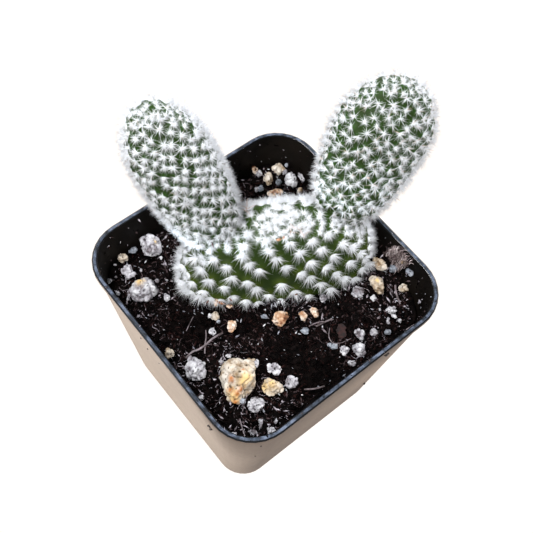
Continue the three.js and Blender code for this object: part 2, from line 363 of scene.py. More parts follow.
def makePot():
    pot = nodeCopy("pot", "pot_shell")
    editAll(pot, lambda: bpy.ops.mesh.dissolve_limited(angle_limit=math.radians(1)))
    bevel = {"width": potLook["edgeBevel"] * mm, "limit_method": "ANGLE", "angle_limit": math.radians(62)}
    modify(pot, "BEVEL", segments=2, **bevel)
    smoothShade(pot, 30)
    finishPiece(pot, potOutsideMaterial(), "pot")
    for material in (potInsideMaterial(), potLipReflectionMaterial(), potEdgeMaterial()):
        pot.data.materials.append(material)
    inside, lip, edge = 1, 2, 3
    floorLow, floorHigh = potLook["innerFloor"]
    for face in pot.data.polygons:
        outward = face.normal.x * face.center.x + face.normal.y * face.center.y
        height = face.center.z / mm
        if height > potLook["lipFrom"]:
            # the lip's upward faces take the painted slate reflection, its rounded edges stay black
            face.material_index = lip if face.normal.z > 0.97 else edge
        elif height > potLook["innerWallFrom"] and outward < 0:
            face.material_index = inside
        elif abs(face.normal.z) > 0.6 and floorLow < height < floorHigh:
            face.material_index = inside
    return pot


pot = makePot()


# Soil: black peat in clumps

# mounds, lumps and grains: height and width in mm; hollows, where the soil sinks and the flakes get painted
# shade: place, width, depth
soilLook = {
    "level": 47.5,
    "voxel": 0.68,
    "topFrom": 43,
    "clump": 1.3,
    "mound": (0.75, 4.2),
    "lump": (0.7, 2.1),
    "grain": (0.25, 0.8),
    "sink": 0.15,
    "hollowDepth": 0.9,
    "black": (0.0012, 0.0009, 0.0009),
    "brown": (0.005, 0.003, 0.0026),
    "mauve": (0.016, 0.012, 0.014),
    "hollows": (
        (-15.5, -9.5, 5.5, 1.0), (8.5, -15.0, 6.5, 0.9), (15.5, -20.0, 6.0, 1.0), (-4.0, -9.0, 4.5, 0.7),
        (21.0, -6.0, 4.0, 0.5), (-31.0, 5.5, 4.0, 0.5), (19.5, -1.5, 4.0, 0.6), (0.0, 26.0, 6.0, 0.6),
    ),
}
rng = np.random.default_rng(11)


def hollowAt(x, y):
    # 0 to 1, how far a place in mm lies inside the hollows
    depth = 0
    for middleX, middleY, width, share in soilLook["hollows"]:
        depth = np.maximum(depth, share * np.exp(-((x - middleX) ** 2 + (y - middleY) ** 2) / width ** 2))
    return depth


def peatMaterial():
    material, tree, shader = newMaterial("peat", 0.8, 0.04)
    stops = ((0.45, soilLook["black"]), (0.60, soilLook["brown"]), (0.75, soilLook["mauve"]))
    paint(tree, shader, colourRamp(tree, noiseOn(tree, 900, 6, 0.75), stops))
    addBump(tree, shader, noiseOn(tree, 2500, 5), 0.6, 0.0003)
    return material


def makeSoil():
    soil = nodeCopy("soil", "soil_bed")
    modify(soil, "REMESH", mode="VOXEL", voxel_size=soilLook["voxel"] * mm)
    places = vertexPlaces(soil)
    top = np.clip((places[:, 2] / mm - soilLook["topFrom"]) / 2, 0, 1)
    mound, lump, grain = soilLook["mound"], soilLook["lump"], soilLook["grain"]
    for i in np.nonzero(top)[0]:
        spot = Vector(places[i]) / mm
        distances, _ = noise.voronoi(spot / lump[1])
        lift = mound[0] * noise.fractal(spot / mound[1], 1.0, 2.0, 4) + lump[0] * (0.45 - distances[0])
        lift += grain[0] * noise.noise(spot / grain[1])
        lift -= soilLook["sink"]
        lift -= soilLook["hollowDepth"] * hollowAt(spot.x, spot.y)
        places[i, 2] += top[i] * soilLook["clump"] * lift * mm
    moveVertices(soil, places)
    smoothShade(soil)
    finishPiece(soil, peatMaterial(), "soil")
    return soil


soil = makeSoil()


# Stones: each CAD stone is worked up in its place with lobes, creases, grain and pits

stoneLooks = {
    "perlite": {
        "slot": "perlite_white", "lobe": 2.2, "lobeDepth": 0.5, "crease": 0.5, "grain": 0.12,
        "pits": 0.30, "seed": 3,
    },
    "pumice": {
        "slot": "pumice_cream", "lobe": 2.9, "lobeDepth": 0.6, "crease": 0.35, "grain": 0.20,
        "pits": 0.30, "seed": 7,
    },
    "rusty_pumice": {
        "slot": "pumice_rusty", "lobe": 2.0, "lobeDepth": 0.35, "crease": 0.25, "grain": 0.16,
        "pits": 0.3, "seed": 13,
    },
    "grey_grit": {
        "slot": "grit_grey", "lobe": 1.8, "lobeDepth": 0.3, "crease": 0.2, "grain": 0.14, "pits": 0.2,
        "seed": 17,
    },
}
# shared by all the stones, widths in mm: the wavering of the lobes, the width of their creases, the smaller
# lobes on them, the grain, the level above which the noise makes a hole, the finest and coarsest mesh
carving = {
    "bend": (0.35, 0.9), "creaseWidth": 0.22, "smallLobe": (0.16, 0.45), "grainWidth": 0.6, "holeFrom": 0.34,
    "holeDepth": 2.5, "voxel": (0.14, 0.24), "voxelShare": 26,
}
# dark, middle and light
stoneColours = {
    "perlite": ((0.14, 0.12, 0.13), (0.35, 0.34, 0.37), (0.60, 0.60, 0.62)),
    "pumice": ((0.24, 0.16, 0.09), (0.44, 0.37, 0.29), (0.62, 0.57, 0.51)),
    "rusty_pumice": ((0.20, 0.07, 0.03), (0.44, 0.27, 0.16), (0.72, 0.64, 0.56)),
    "grey_grit": ((0.08, 0.09, 0.10), (0.20, 0.22, 0.26), (0.32, 0.34, 0.38)),
}
# stains and holes seen on single stones: what, where in mm, how wide; the holes also get painted shade
stoneMarks = {
    "pumice_1": (
        ("dent", (-4.4, -28.8, 52.5), 0.9), ("dent", (-1.9, -23.4, 55.5), 0.8),
        ("bump", (0.2, -21.9, 54.5), 1.5), ("bump", (-5.2, -25.4, 54.5), 1.4),
        ("bump", (-4.1, -30.2, 51.5), 1.0), ("rust", (-5.4, -25.8, 54.0), 0.7),
        ("rust", (-4.7, -26.7, 54.0), 0.55), ("rust", (-5.7, -25.1, 54.0), 0.45),
        ("rust", (-5.0, -28.3, 52.5), 0.6), ("rust", (-2.6, -22.2, 55.0), 0.3),
        ("rust", (-0.4, -27.9, 53.0), 0.9), ("rust", (-1.2, -28.7, 52.5), 0.8),
        ("rust", (-3.0, -31.1, 50.5), 0.9), ("ochre", (-4.1, -29.9, 51.5), 1.9),
        ("ochre", (-2.2, -26.5, 54.5), 1.3), ("ochre", (0.2, -25.3, 54.0), 1.5),
        ("pit_shade", (-4.4, -29.4, 51.5), 0.4), ("pit_shade", (-3.6, -30.2, 51.0), 0.35),
    ),
    "pumice_2": (
        ("ochre", (1.6, -24.4, 50.0), 1.4), ("pit_shade", (2.4, -24.3, 50.5), 0.4),
        ("ochre", (3.9, -24.2, 50.5), 1.0),
    ),
    "pumice_3": (("pit_shade", (-19.9, -20.3, 49.5), 0.35), ("pit_shade", (-18.7, -20.4, 49.5), 0.35)),
    "pumice_5": (("ochre", (27.0, 4.9, 51.5), 0.6),),
    "pumice_6": (
        ("ochre", (26.8, 11.2, 51.0), 0.8), ("pit_shade", (27.7, 9.5, 50.5), 0.3),
        ("pit_shade", (28.8, 9.3, 50.0), 0.3),
    ),
    "perlite_1": (("ochre", (-27.5, 8.9, 51.0), 0.5),),
    "perlite_2": (("pit_shade", (-28.2, -5.1, 50.5), 0.45), ("ochre", (-30.2, -2.2, 51.0), 1.1)),
    "perlite_5": (("pit_shade", (1.2, -30.2, 50.2), 0.5), ("pit_shade", (1.9, -31.0, 50.0), 0.4)),
    "perlite_7": (("pit_shade", (4.0, -20.0, 50.2), 0.25), ("pit_shade", (5.2, -19.2, 50.2), 0.25)),
    "perlite_6": (("pit_shade", (8.0, -23.8, 50.5), 0.4),),
    "perlite_16": (("pit_shade", (22.3, -13.4, 50.0), 0.4),),
}


def stoneMaterial(kind):
    dark, middle, light = stoneColours[kind]
    material, tree, shader = newMaterial(kind.replace("_", " "), 0.8, 0.25)
    soiled = tuple(0.3 * level for level in dark)
    stops = ((0.27, soiled), (0.36, dark), (0.47, middle), (0.62, light))
    colour = colourRamp(tree, noiseOn(tree, 420, 5, 0.65), stops)
    colour = mixColours(tree, attributeOn(tree, "ochre"), colour, (0.66, 0.46, 0.20))
    colour = mixColours(tree, attributeOn(tree, "rust"), colour, (0.36, 0.12, 0.02))
    # painted shade: the pits and creases are darkened
    deep = tuple(0.22 * level for level in dark)
    paint(tree, shader, mixColours(tree, attributeOn(tree, "pit_shade"), colour, deep))
    addBump(tree, shader, noiseOn(tree, 2600, 4, 0.6), 0.4, 0.0002)
    return material


def chopSides(stone, draw, planes=10, shallow=0.9, deep=0.68):
    # presses random flat sides into a round stone
    places = vertexPlaces(stone)
    centre = (places.min(0) + places.max(0)) / 2
    for normal in unit(draw.normal(0, 1, (planes, 3))):
        reach = (places - centre) @ normal
        beyond = np.maximum(reach - reach.max() * draw.uniform(deep, shallow), 0)
        places -= 0.9 * beyond[:, None] * normal
    moveVertices(stone, places)


def carveStone(stone, look, across, seed, marks=()):
    # lobes with creases between them, then grain and pits, moved along the normals; the pits and creases
    # also get painted shade
    places, normals = vertexPlaces(stone), vertexNormals(stone)
    lobe = min(look["lobe"], across / 2.4)
    shift = Vector((look["seed"] * 7.3 + seed * 3.1, seed * 5.7, seed))
    small = min(1.0, across / 4.5)
    (bend, bendWidth), (smallDepth, smallShare) = carving["bend"], carving["smallLobe"]
    grainWidth = carving["grainWidth"]
    pit_shade = np.zeros(len(places))
    for i, (place, normal) in enumerate(zip(places, normals)):
        spot = Vector(place) / mm + shift
        bent = spot + bend * noise.noise_vector(spot / bendWidth)
        distances, _ = noise.voronoi(bent / lobe)
        crease = max(0.0, 1 - (distances[1] - distances[0]) / carving["creaseWidth"])
        fine, _ = noise.voronoi(bent / (lobe * smallShare))
        rise = look["lobeDepth"] * (0.45 - distances[0]) - look["crease"] * crease ** 1.5
        rise += smallDepth * look["lobeDepth"] * (0.4 - fine[0])
        rise += look["grain"] * noise.fractal(spot / grainWidth, 1.0, 2.0, 3)
        hole = max(0.0, noise.noise(spot / grainWidth + Vector((9, 2, 4))) - carving["holeFrom"])
        rise -= look["pits"] * carving["holeDepth"] * hole
        # painted shade, strongest in the holes and along the creases
        pit_shade[i] = min(1.0, hole * 4 + 0.5 * crease ** 2)
        places[i] += normal * rise * mm * small
    stains = {"ochre": np.zeros(len(places)), "rust": np.zeros(len(places)), "pit_shade": pit_shade}
    wobble = np.array([noise.noise(Vector(place) / mm / 0.5) for place in places])
    for kind, centre, width in marks:
        # the nearest point of the skin takes the mark
        nearest = np.linalg.norm(places / mm - np.array(centre), axis=1).argmin()
        gap = np.linalg.norm(places - places[nearest], axis=1) / mm * (1 + 0.5 * wobble)
        strength = np.exp(-(gap / width) ** 2)
        push = {"pit_shade": -0.9, "dent": -0.6, "bump": 0.4}.get(kind, 0) * width
        places += normals * (push * strength * mm)[:, None]
        if kind in stains:
            stains[kind] = np.maximum(stains[kind], strength)
    moveVertices(stone, places)
    for kind, values in stains.items():
        vertexValues(stone, kind, values)
    smoothShade(stone)


def makeStone(node, kind, number):
    stone = nodeCopy(node, node + "_stone")
    low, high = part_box(node)
    across = max(high[k] - low[k] for k in range(3)) / mm
    finest, coarsest = carving["voxel"]
    voxel = min(max(across / carving["voxelShare"], finest), coarsest)
    modify(stone, "REMESH", mode="VOXEL", voxel_size=voxel * mm)
    chopSides(stone, np.random.default_rng(number + len(kind) * 100))
    modify(stone, "SMOOTH", factor=0.5, iterations=4)
    carveStone(stone, stoneLooks[kind], across, number, stoneMarks.get(node, ()))
    return stone


stones, stoneFinish = [], {}
for kind, look in stoneLooks.items():
    stoneFinish[kind] = stoneMaterial(kind)
    nodes = sorted(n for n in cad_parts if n.rsplit("_", 1)[0] == kind)
    for number, node in enumerate(nodes):
        stone = makeStone(node, kind, number)
        finishPiece(stone, stoneFinish[kind], node)
        stones.append(stone)


# Smaller bits of the same stones, lying between them: number, place and size in mm, turn in degrees

stoneBits = {
    "perlite": (
        (1, (-4.9, 28.6, 48.5), (1.3, 1.7, 1.2), 0), (2, (1.9, 34.9, 48.5), (1.3, 2.1, 1.2), 10),
        (5, (-25.9, 5.4, 48.4), (0.9, 1.0, 0.8), 0), (6, (-30.1, 1.4, 48.4), (0.7, 1.0, 0.7), 0),
        (7, (-36.6, 1.9, 48.4), (1.0, 0.7, 0.7), 0), (8, (-35.8, -1.3, 48.4), (0.8, 0.9, 0.7), 0),
        (9, (-37.1, -2.6, 48.6), (1.2, 1.5, 1.0), 0), (10, (-34.5, -5.6, 48.6), (1.2, 1.5, 1.0), 30),
        (11, (-31.9, -6.5, 48.5), (0.9, 1.4, 0.9), 0), (12, (-25.8, -1.0, 48.5), (1.1, 1.4, 1.0), 0),
        (13, (-22.8, -5.0, 48.5), (1.6, 2.8, 1.0), 20), (14, (2.9, -33.3, 48.5), (1.1, 3.8, 1.1), 5),
        (15, (6.2, -32.3, 48.5), (1.0, 1.6, 0.9), -10), (16, (-2.8, -36.4, 48.5), (1.8, 1.0, 0.9), -5),
        (17, (-11.2, -29.1, 48.6), (1.5, 1.7, 1.2), 0), (18, (-7.8, -20.0, 49.0), (1.2, 1.6, 1.2), 15),
        (19, (-6.2, -18.1, 48.6), (1.8, 0.9, 0.9), 0), (20, (0.3, -19.6, 49.6), (1.7, 2.4, 1.8), 10),
        (22, (26.7, 1.5, 48.6), (1.7, 1.9, 1.3), 0), (23, (32.0, -2.7, 48.6), (1.7, 1.1, 1.0), -20),
        (24, (30.6, -4.2, 48.6), (1.0, 2.2, 1.0), 0), (25, (33.5, -3.7, 48.5), (1.0, 1.3, 0.9), 20),
        (26, (28.5, -1.3, 48.5), (0.7, 0.8, 0.7), 0), (27, (37.6, 1.0, 50.5), (0.9, 1.1, 0.9), 0),
        (31, (-10.9, -12.4, 48.6), (1.8, 2.4, 0.7), 15), (33, (-12.0, -8.7, 48.6), (1.0, 1.7, 1.1), 10),
    ),
    "pumice": (
        (4, (6.2, 29.6, 48.6), (1.6, 2.2, 1.4), -15), (30, (32.6, 9.2, 54.6), (1.5, 1.2, 1.0), 0),
    ),
    "rusty_pumice": (
        (0, (-6.0, 34.3, 48.6), (1.9, 2.4, 1.4), 20), (32, (-10.9, -4.9, 48.8), (1.7, 2.0, 1.4), 0),
        (35, (-7.7, -5.4, 48.6), (2.3, 1.1, 0.9), -5),
    ),
    "grey_grit": (
        (3, (2.1, 37.0, 48.5), (1.2, 1.3, 1.0), 0), (21, (-1.7, -28.6, 48.6), (1.6, 1.9, 1.2), 0),
        (28, (30.5, -7.1, 48.6), (2.2, 1.6, 1.0), 10), (29, (34.4, 7.0, 53.6), (2.0, 2.3, 1.6), 15),
        (34, (-9.8, -9.6, 48.4), (1.0, 1.1, 0.8), 0),
    ),
}


def makeBits(kind, look):
    bits = []
    for seed, place, size, turn in stoneBits[kind]:
        bit = addShape(bpy.ops.mesh.primitive_ico_sphere_add, subdivisions=4, radius=0.5 * mm)
        bit.scale = size
        bit.rotation_euler = (0, 0, math.radians(turn))
        bit.location = Vector(place) * mm
        bpy.ops.object.transform_apply(location=True, rotation=True, scale=True)
        chopSides(bit, np.random.default_rng(seed), 8, 0.85, 0.6)
        carveStone(bit, look, max(size), 40 + seed)
        bits.append(bit)
    piece = joinPieces(bits, kind + "_bits")
    finishPiece(piece, stoneFinish[kind], None)
    stones.append(piece)


for kind, look in stoneLooks.items():
    makeBits(kind, look)


# Pads: a fleshy skin with a low tubercle under each areole

earShape = {
    "foot": None, "up": 15, "buried": 0, "neck": 0.34, "section": 2.1, "yaw": 16.5, "leanBack": 22,
    "voxel": 0.36,
}
earRim = {
    "areole": 0.25, "coreCount": 10, "coreLength": 1.0, "rayCount": 30, "rayLength": 2.2, "spread": 72,
    "droop": 0,
}
padShapes = {
    "base_pad": {
        "foot": (2.5, 7.0, 47.5), "buried": 16.5, "width": 47.2, "thickness": 16, "length": 36.5,
        "neck": 0.6, "widestAt": 0.5, "squareness": 2.6, "section": 2.4, "yaw": 16.5, "leanBack": 15,
        "leanRight": 0, "voxel": 0.5, "tubercle": 0.5, "tubercleWidth": 1.5, "rimWithin": 0.66,
        "tip": 0.45, "seed": 5, "tone": (0.32, 0.88),
        "face": {
            "spacing": 3.8, "areole": 0.8, "coreCount": 90, "coreLength": 1.9, "rayCount": 56,
            "rayLength": 3.8, "spread": 62, "droop": 0.30,
        },
        "rim": {
            "spacing": 1.8, "areole": 0.4, "coreCount": 34, "coreLength": 1.5, "rayCount": 40,
            "rayLength": 2.4, "spread": 74, "droop": 0,
        },
    },
    "left_ear_pad": {
        **earShape, "along": -14.1, "outward": -1.2, "width": 17.8, "thickness": 13.5, "length": 39.3,
        "widestAt": 0.59, "squareness": 2.05, "leanRight": -21.9, "tubercle": 0.3, "tubercleWidth": 0.85,
        "rimWithin": 0.5, "tip": 0.9, "seed": 6, "tone": (0.05, 0.75),
        "face": {
            "spacing": 2.4, "areole": 0.35, "coreCount": 18, "coreLength": 1.2, "rayCount": 44,
            "rayLength": 2.5, "spread": 80, "droop": 0,
        },
        "rim": {**earRim, "spacing": 1.5},
    },
    "right_ear_pad": {
        **earShape, "along": 15.2, "outward": 0.8, "width": 23.2, "thickness": 14, "length": 37.2,
        "widestAt": 0.64, "squareness": 1.7, "leanRight": 21.7, "tubercle": 0.32, "tubercleWidth": 0.95,
        "rimWithin": 0.45, "tip": 0.8, "seed": 9, "tone": (0.03, 0.58),
        "face": {
            "spacing": 2.45, "areole": 0.35, "coreCount": 14, "coreLength": 1.2, "rayCount": 28,
            "rayLength": 2.6, "spread": 80, "droop": 0,
        },
        "rim": {**earRim, "spacing": 1.7},
    },
}
goldenAngle = math.pi * (3 - math.sqrt(5))
# areoles on the front of the base pad, row by row: along the pad and up it, in mm
frontAreoles = (
    (-12.4, 33.2), (-7.8, 34.0), (-3.9, 32.7), (1.6, 31.4), (6.7, 31.2), (10.6, 31.7), (14.1, 28.6),
    (-19.4, 29.9), (-15.1, 31.1), (-9.2, 31.9), (-3.4, 30.4), (3.7, 28.8), (9.0, 28.8), (11.8, 26.1),
    (16.5, 26.7), (-20.0, 27.5), (-15.8, 28.6), (-9.6, 29.6), (-1.8, 28.1), (6.1, 25.9), (16.1, 22.7),
    (-13.2, 26.8), (-8.1, 27.4), (0.3, 25.5), (10.1, 23.3), (-22.4, 23.6), (-18.9, 25.5), (-5.9, 25.5),
    (4.0, 22.9), (12.9, 20.3), (-12.2, 23.8), (6.3, 21.0), (15.1, 18.0), (18.1, 16.0), (-17.3, 22.5),
    (-21.1, 20.6), (-8.7, 22.0), (9.2, 18.1), (-0.6, 20.0), (-14.1, 20.4), (-6.8, 19.7), (-18.8, 18.5),
    (2.7, 16.8), (-3.7, 16.7), (6.1, 14.5), (-12.3, 17.2), (-0.7, 14.6), (-9.0, 15.5), (-22.7, 19.0),
    (-21.3, 17.2), (-19.6, 16.6), (-17.4, 16.4), (-22.4, 17.6), (19.9, 18.3), (20.6, 21.2),
    (19.0, 24.0), (-15.2, 15.9), (-6.2, 14.6), (11.8, 15.2), (21.6, 18.6),
)


def tiltOf(pad):
    turn = Euler((math.radians(-pad["leanBack"]), math.radians(pad["leanRight"]), 0), "YXZ").to_matrix()
    return Matrix.Rotation(math.radians(pad["yaw"]), 3, "Z") @ turn


def footOf(pad):
    base = padShapes["base_pad"]
    foot = Vector(base["foot"])
    if pad["foot"] is None:
        foot = foot + tiltOf(base) @ Vector((pad["along"], pad["outward"], pad["up"]))
    return foot - tiltOf(pad) @ Vector((0, 0, pad["buried"]))


def padReach(pad, share):
    # half width of the outline at a share of the length, as a share of the widest
    low = np.clip((pad["widestAt"] - share) / pad["widestAt"], 0, 1)
    high = np.clip((share - pad["widestAt"]) / (1 - pad["widestAt"]), 0, 1)
    lower = pad["neck"] + (1 - pad["neck"]) * np.sqrt(1 - low ** pad["squareness"])
    return np.where(share < pad["widestAt"], lower, np.sqrt(1 - high ** pad["squareness"]))


def sectionPoint(pad, angle):
    # a point of the pad's cross-section, at the widest place
    x, y = np.cos(angle), np.sin(angle)
    bulge = (np.abs(x) ** pad["section"] + np.abs(y) ** pad["section"]) ** (-1 / pad["section"])
    return x * bulge * pad["width"] / 2, y * bulge * pad["thickness"] / 2


def areoleSpots(pad, skinTree, spacing):
    # areoles follow a spiral from the foot to the tip, an equal area apart, each a little off its place
    draw = np.random.default_rng(pad["seed"] + 40)
    share = np.linspace(0, 1, 801)
    reach = padReach(pad, share)
    meanHalf = (pad["width"] + pad["thickness"]) / 4
    slant = np.hypot(np.diff(share) * pad["length"], np.diff(reach) * meanHalf)
    area = np.concatenate([[0], np.cumsum(slant * (reach[1:] + reach[:-1]) * math.pi * meanHalf)])
    count = int(area[-1] / (0.866 * spacing ** 2))
    shares = np.interp((np.arange(count) + 0.5) / count * area[-1], area, share)
    turned = np.arange(count) * goldenAngle % (2 * math.pi)
    ring = np.linspace(0, 2 * math.pi, 721)
    ringX, ringY = sectionPoint(pad, ring)
    walked = np.concatenate([[0], np.cumsum(np.hypot(np.diff(ringX), np.diff(ringY)))])
    x, y = sectionPoint(pad, np.interp(turned / (2 * math.pi) * walked[-1], walked, ring))
    x, y = x + draw.normal(0, 0.13 * spacing, count), y + draw.normal(0, 0.06 * spacing, count)
    shares = np.clip(shares + draw.normal(0, 0.13 * spacing / pad["length"], count), 0, 1)
    reach = padReach(pad, shares)
    local = np.stack([x * reach, y * reach, shares * pad["length"]], 1)
    tilt, foot = tiltOf(pad), footOf(pad)
    spots, normals = [], []
    for point in local:
        place, normal, _, _ = skinTree.find_nearest((foot + tilt @ Vector(point)) * mm)
        spots.append(place)
        normals.append(normal)
    return np.array(spots), np.array(normals)


def frontSpots(pad, skinTree):
    tilt, foot = tiltOf(pad), footOf(pad)
    spots, normals = [], []
    for along, up in frontAreoles:
        start = (foot + tilt @ Vector((along, -20, up))) * mm
        place, normal, _, _ = skinTree.ray_cast(start, tilt @ Vector((0, 1, 0)))
        if place is not None:
            spots.append(place)
            normals.append(normal)
    return np.array(spots), np.array(normals)


def areoleRows(pad, skinTree):
    # wide apart on the two faces, close together round the rim and over the crest
    across = np.array(tiltOf(pad) @ Vector((0, 1, 0)))
    upward = np.array(tiltOf(pad) @ Vector((0, 0, 1)))
    rows = {}
    for zone in ("face", "rim"):
        spots, normals = areoleSpots(pad, skinTree, pad[zone]["spacing"])
        flat = np.abs(normals @ across) - pad["tip"] * np.maximum(normals @ upward - 0.25, 0)
        if pad["foot"] is None:
            chosen = flat >= pad["rimWithin"] if zone == "face" else flat < pad["rimWithin"]
            rows[zone] = (spots[chosen], normals[chosen])
            continue
        # the front of the base pad has its own rows, and the close-set spots keep off them
        front = frontSpots(pad, skinTree)
        gaps = np.linalg.norm(spots[:, None] - front[0][None], axis=2).min(1) / mm
        if zone == "face":
            chosen = (flat >= pad["rimWithin"]) & (normals @ across > 0)
            back = (spots[chosen], normals[chosen])
            rows[zone] = tuple(np.concatenate(pair) for pair in zip(back, front))
        else:
            forward = normals @ across < 0
            chosen = (flat < pad["rimWithin"] + 0.12 * forward) & (gaps > 1.7 * forward)
            rows[zone] = (spots[chosen], normals[chosen])
    return rows


def padMaterial():
    material, tree, shader = newMaterial("pad skin", 0.5, 0.15)
    patch = noiseOn(tree, 200, 4)
    olive = colourRamp(tree, patch, ((0.35, (0.036, 0.056, 0.005)), (0.65, (0.062, 0.086, 0.009))))
    fresh = colourRamp(tree, patch, ((0.35, (0.018, 0.056, 0.008)), (0.65, (0.032, 0.086, 0.014))))
    fleshy = mixColours(tree, heightOn(tree, 56, 72), olive, fresh)
    # painted shade: the skin is darker in the grooves between the tubercles
    paint(tree, shader, mixColours(tree, attributeOn(tree, "raised"), (0.014, 0.028, 0.004), fleshy))
    addBump(tree, shader, noiseOn(tree, 4000, 3), 0.25, 0.0001)
    return material


def makeSkin(node, finish):
    pad = padShapes[node]
    skin = nodeCopy(node, node + "_skin")
    modify(skin, "REMESH", mode="VOXEL", voxel_size=pad["voxel"] * mm)
    modify(skin, "SMOOTH", factor=0.5, iterations=5)
    rows = areoleRows(pad, surfaceOf(skin))
    spots = np.concatenate([rows["face"][0], rows["rim"][0]])
    places, outward = vertexPlaces(skin), vertexNormals(skin)
    raised = np.zeros(len(places))
    for start in range(0, len(places), 2000):
        part = slice(start, start + 2000)
        gaps = np.linalg.norm(places[part, None, :] - spots[None, :, :], axis=2) / mm
        raised[part] = np.exp(-(gaps.min(1) / pad["tubercleWidth"]) ** 2)
    places += outward * (raised * pad["tubercle"] * mm)[:, None]
    moveVertices(skin, places)
    vertexValues(skin, "raised", raised)
    smoothShade(skin)
    finishPiece(skin, finish, node)
    return skin, rows


padFinish = padMaterial()
skins = {node: makeSkin(node, padFinish) for node in padShapes}


# Glochids: one fine bristle is modelled, and copied into a tuft on every areole

bristleLook = {"sides": 3, "coreThickness": 0.11, "rayThickness": 0.15}


def makeBristle():
    bristle = addShape(
        bpy.ops.mesh.primitive_cone_add, vertices=bristleLook["sides"], radius1=0.5, radius2=0, depth=1,
        location=(0, 0, 0.5), end_fill_type="NOTHING")
    bpy.ops.object.transform_apply(location=True, rotation=True, scale=True)
    return bristle


def fanOf(draw, spots, axis, count, length, spread, areole, thickness, tones):
    # count bristles at each spot, leaning away from the axis by up to spread degrees
    tufts = len(spots)
    side = unit(np.cross(axis, (0.31, 0.17, 0.93)))
    other = np.cross(axis, side)
    around = draw.uniform(0, 2 * math.pi, (tufts, count))
    fan = draw.uniform(0, 1, (tufts, count)) ** 0.6
    lean = math.radians(spread) * fan
    outward = np.cos(around)[..., None] * side[:, None] + np.sin(around)[..., None] * other[:, None]
    aim = np.cos(lean)[..., None] * axis[:, None] + np.sin(lean)[..., None] * outward
    size = draw.uniform(0.82, 1.12, (tufts, 1))
    reach = length * size * draw.uniform(0.62, 1.0, (tufts, count))
    root = spots[:, None] + outward * (areole * mm * fan * draw.uniform(0.3, 1, (tufts, count)))[..., None]
    thick = thickness * draw.uniform(0.75, 1.2, (tufts, count))
    aim, root = aim.reshape(-1, 3), root.reshape(-1, 3)
    across = unit(np.cross(aim, (0.2, 0.9, 0.1)))
    third = np.cross(aim, across)
    thick, reach = thick.reshape(-1, 1) * mm, reach.reshape(-1, 1) * mm
    tone = (draw.uniform(*tones, (tufts, count)) * draw.uniform(0.7, 1.0, (tufts, 1))).ravel()
    return root - aim * 0.1 * mm, np.stack([across * thick, third * thick, aim * reach], 1), tone


def tuftsOn(node, bristle, finish, others):
    pad = padShapes[node]
    rows = skins[node][1]
    draw = np.random.default_rng(pad["seed"])
    upward = np.array(tiltOf(pad) @ Vector((0, 0, 1)))
    parts = []
    for zone, (spots, normals) in rows.items():
        look = pad[zone]
        spots = spots + normals * pad["tubercle"] * 0.9 * mm
        keep = spots[:, 2] > (soilLook["level"] - 0.2) * mm
        for k in np.nonzero(keep)[0]:
            for tree in others:
                place, normal, _, gap = tree.find_nearest(Vector(spots[k]))
                inside = gap < 3.5 * mm and (Vector(spots[k]) - place).dot(normal) < 0
                if gap < 0.5 * mm or inside:
                    keep[k] = False
        spots, normals = spots[keep], normals[keep]
        # the tufts near the soil hang down more
        droop = look["droop"] + 0.45 * np.clip(1 - (spots[:, 2] / mm - soilLook["level"]) / 6, 0, 1)
        axis = unit(normals - droop[:, None] * upward + draw.normal(0, 0.12, (len(spots), 3)))
        for kind, wider, within in (("core", 8, 1), ("ray", 0, 0.6)):
            parts.append(fanOf(
                draw, spots, axis, look[kind + "Count"], look[kind + "Length"], look["spread"] + wider,
                look["areole"] * within, bristleLook[kind + "Thickness"], pad["tone"]))
        print(node, zone, len(spots), "tufts")
    places, axes, tone = (np.concatenate(rows) for rows in zip(*parts))
    piece = copiesOf(node + "_glochids", bristle, places, axes, {"tone": tone})
    finishPiece(piece, finish, None)
    return piece


bristle = makeBristle()
bristleFinish = toneMaterial("glochids", 0.6, (
    (0.04, (0.50, 0.40, 0.33)),
    (0.08, (0.62, 0.64, 0.67)),
    (0.5, (0.82, 0.84, 0.88)),
    (1.0, (0.96, 0.97, 0.99)),
), 0.25)
padTrees = {node: surfaceOf(skins[node][0]) for node in padShapes}
for node in padShapes:
    others = [padTrees[other] for other in padShapes if other != node]
    tuftsOn(node, bristle, bristleFinish, others)
removePiece(bristle)


# Loose crumbs, fibres and specks on the peat, on the inner wall and on the lip

def crumbMaterial():
    material, tree, shader = newMaterial("peat crumbs", 0.42)
    tone = attributeOn(tree, "tone")
    # painted highlight: the palest, mauve tones stand in for wet glints on a few flakes, which also get a
    # stronger specular
    colour = colourRamp(tree, tone, (
        (0.0, (0.0008, 0.0006, 0.0006)),
        (0.60, (0.0018, 0.0012, 0.0012)),
        (0.78, (0.024, 0.010, 0.009)),
        (0.90, (0.095, 0.066, 0.070)),
        (1.0, (0.60, 0.55, 0.62)),
    ))
    wet = colourRamp(tree, tone, ((0.75, (0.02, 0.02, 0.02)), (1.0, (0.5, 0.5, 0.5))))
    tree.links.new(wet, shader.inputs["Specular IOR Level"])
    paint(tree, shader, colour)
    addBump(tree, shader, noiseOn(tree, 3000, 4), 0.5, 0.0002)
    return material


def makeCrumb():
    # a small rough flake with ten faces: a cone whose base is drawn down to a second tip
    crumb = addShape(
        bpy.ops.mesh.primitive_cone_add, vertices=5, radius1=0.5, radius2=0, depth=0.5,
        end_fill_type="TRIFAN")
    places = vertexPlaces(crumb)
    middle = np.hypot(places[:, 0], places[:, 1]) < 0.01
    places[:, 2] += 0.25
    places[middle & (places[:, 2] < 0.1), 2] = -0.5
    moveVertices(crumb, places * rng.uniform(0.7, 1.2, (len(places), 1)))
    return crumb


